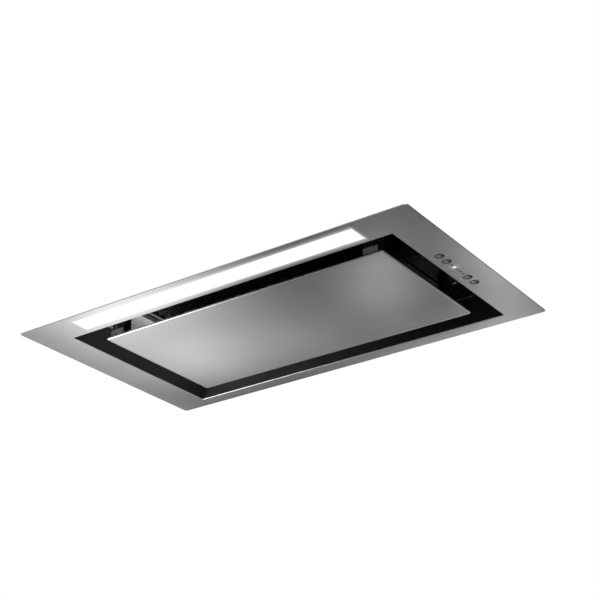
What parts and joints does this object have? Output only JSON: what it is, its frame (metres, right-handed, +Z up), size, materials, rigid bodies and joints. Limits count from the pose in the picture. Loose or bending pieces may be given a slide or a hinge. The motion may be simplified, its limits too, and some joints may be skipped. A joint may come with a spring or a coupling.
{
  "type": "built-in range hood",
  "caption": "Built-in range hood for a wall cabinet: flat steel rim, hinged suction panel with slots all round, grease filter, light strip, push buttons, and a blower with duct collar.",
  "frame": {"origin": "centre of the rim, in its upper face, which lies against the underside of the cabinet", "axes": "+X to the right along the front edge, towards the buttons; +Y to the back; +Z up into the cabinet"},
  "size_m": [0.6, 0.35, 0.2692],
  "materials": {
    "stainless": "brushed along the front edge",
    "zinc_sheet": "galvanised, dull",
    "black_plastic": "matt",
    "black_steel": "powder coated",
    "bright_steel": "zinc plated",
    "button_metal": "satin",
    "light_cover": "opal, lit from behind",
    "clear_plastic": "clear",
    "board_green": "lacquered board",
    "silicone": "matt",
    "filter_aluminium": "rolled",
    "grey_plastic": "matt",
    "motor_paint": "cast and painted",
    "core_steel": "varnished laminations"
  },
  "bodies": {
    "hood": {"button_carrier": "black_plastic", "cable_gland": "black_plastic", "capacitor": "grey_plastic", "capacitor_clip": "zinc_sheet", "catch_block_left": "black_plastic", "catch_block_right": "black_plastic", "catch_clips": "bright_steel", "control_box": "black_plastic", "control_cover": "black_plastic", "control_lid": "black_plastic", "filter_frame": "filter_aluminium", "filter_ledge": "black_steel", "filter_mesh": "filter_aluminium", "hinge_fork_left": "black_steel", "hinge_fork_right": "black_steel", "hinge_pins": "bright_steel", "indicator_pipes": "clear_plastic", "latch_spring": "bright_steel", "led_board": "board_green", "led_driver": "black_plastic", "led_housing": "black_plastic", "led_lens": "light_cover", "liner": "black_plastic", "motor_bearings": "bright_steel", "motor_bracket": "bright_steel", "motor_housing": "motor_paint", "motor_stator": "core_steel", "outlet_collar": "grey_plastic", "power_board": "board_green", "rim_frame": "stainless", "rim_nuts": "bright_steel", "scroll_left": "grey_plastic", "scroll_right": "grey_plastic", "sheet_screws": "bright_steel", "side_springs": "bright_steel", "support_frame": "zinc_sheet", "switch_board": "board_green", "switch_domes": "silicone", "terminal_box": "black_plastic", "terminal_lid": "black_plastic", "top_cover": "zinc_sheet", "tray_deck": "zinc_sheet", "tray_walls": "zinc_sheet", "upper_casing": "zinc_sheet"},
    "panel": {"panel_skin": "stainless", "panel_pan": "zinc_sheet", "hinge_arm_left": "bright_steel", "hinge_arm_right": "bright_steel", "striker_left": "bright_steel", "striker_right": "bright_steel"},
    "wheel": {"blower_wheel": "grey_plastic", "motor_rotor": "core_steel", "motor_shaft": "bright_steel"},
    "flap_left": {"flap_left": "grey_plastic"},
    "flap_right": {"flap_right": "grey_plastic"},
    "button_1": {"button_1": "button_metal"},
    "button_2": {"button_2": "button_metal"},
    "button_3": {"button_3": "button_metal"},
    "button_4": {"button_4": "button_metal"},
    "filter_latch": {"filter_latch": "black_plastic"}
  },
  "joints": [
    {"name": "panel_hinge", "type": "hinge", "parent": "hood", "child": "panel", "pos_m": [0, 0.1, 0.024], "axis": [1, 0, 0], "range_deg": [0, 70], "deforming": ["catch_clips"]},
    {"name": "wheel_spin", "type": "hinge", "parent": "hood", "child": "wheel", "pos_m": [0, -0.04, 0.1467], "axis": [1, 0, 0], "continuous": true},
    {"name": "flap_left_hinge", "type": "hinge", "parent": "hood", "child": "flap_left", "pos_m": [-0.0044, 0.023, 0.2395], "axis": [0, 1, 0], "range_deg": [0, 75]},
    {"name": "flap_right_hinge", "type": "hinge", "parent": "hood", "child": "flap_right", "pos_m": [0.0044, 0.023, 0.2395], "axis": [0, -1, 0], "range_deg": [0, 75]},
    {"name": "button_1_press", "type": "slide", "parent": "hood", "child": "button_1", "axis": [0, 0, 1], "range_m": [0, 0.0015], "stiffness_N_per_m": 400, "springref_m": -0.002, "deforming": ["switch_domes"]},
    {"name": "button_2_press", "type": "slide", "parent": "hood", "child": "button_2", "axis": [0, 0, 1], "range_m": [0, 0.0015], "stiffness_N_per_m": 400, "springref_m": -0.002, "deforming": ["switch_domes"]},
    {"name": "button_3_press", "type": "slide", "parent": "hood", "child": "button_3", "axis": [0, 0, 1], "range_m": [0, 0.0015], "stiffness_N_per_m": 400, "springref_m": -0.002, "deforming": ["switch_domes"]},
    {"name": "button_4_press", "type": "slide", "parent": "hood", "child": "button_4", "axis": [0, 0, 1], "range_m": [0, 0.0015], "stiffness_N_per_m": 400, "springref_m": -0.002, "deforming": ["switch_domes"]},
    {"name": "filter_latch_slide", "type": "slide", "parent": "hood", "child": "filter_latch", "axis": [-1, 0, 0], "range_m": [0, 0.008], "stiffness_N_per_m": 300, "springref_m": -0.004, "deforming": ["latch_spring"]}
  ]
}
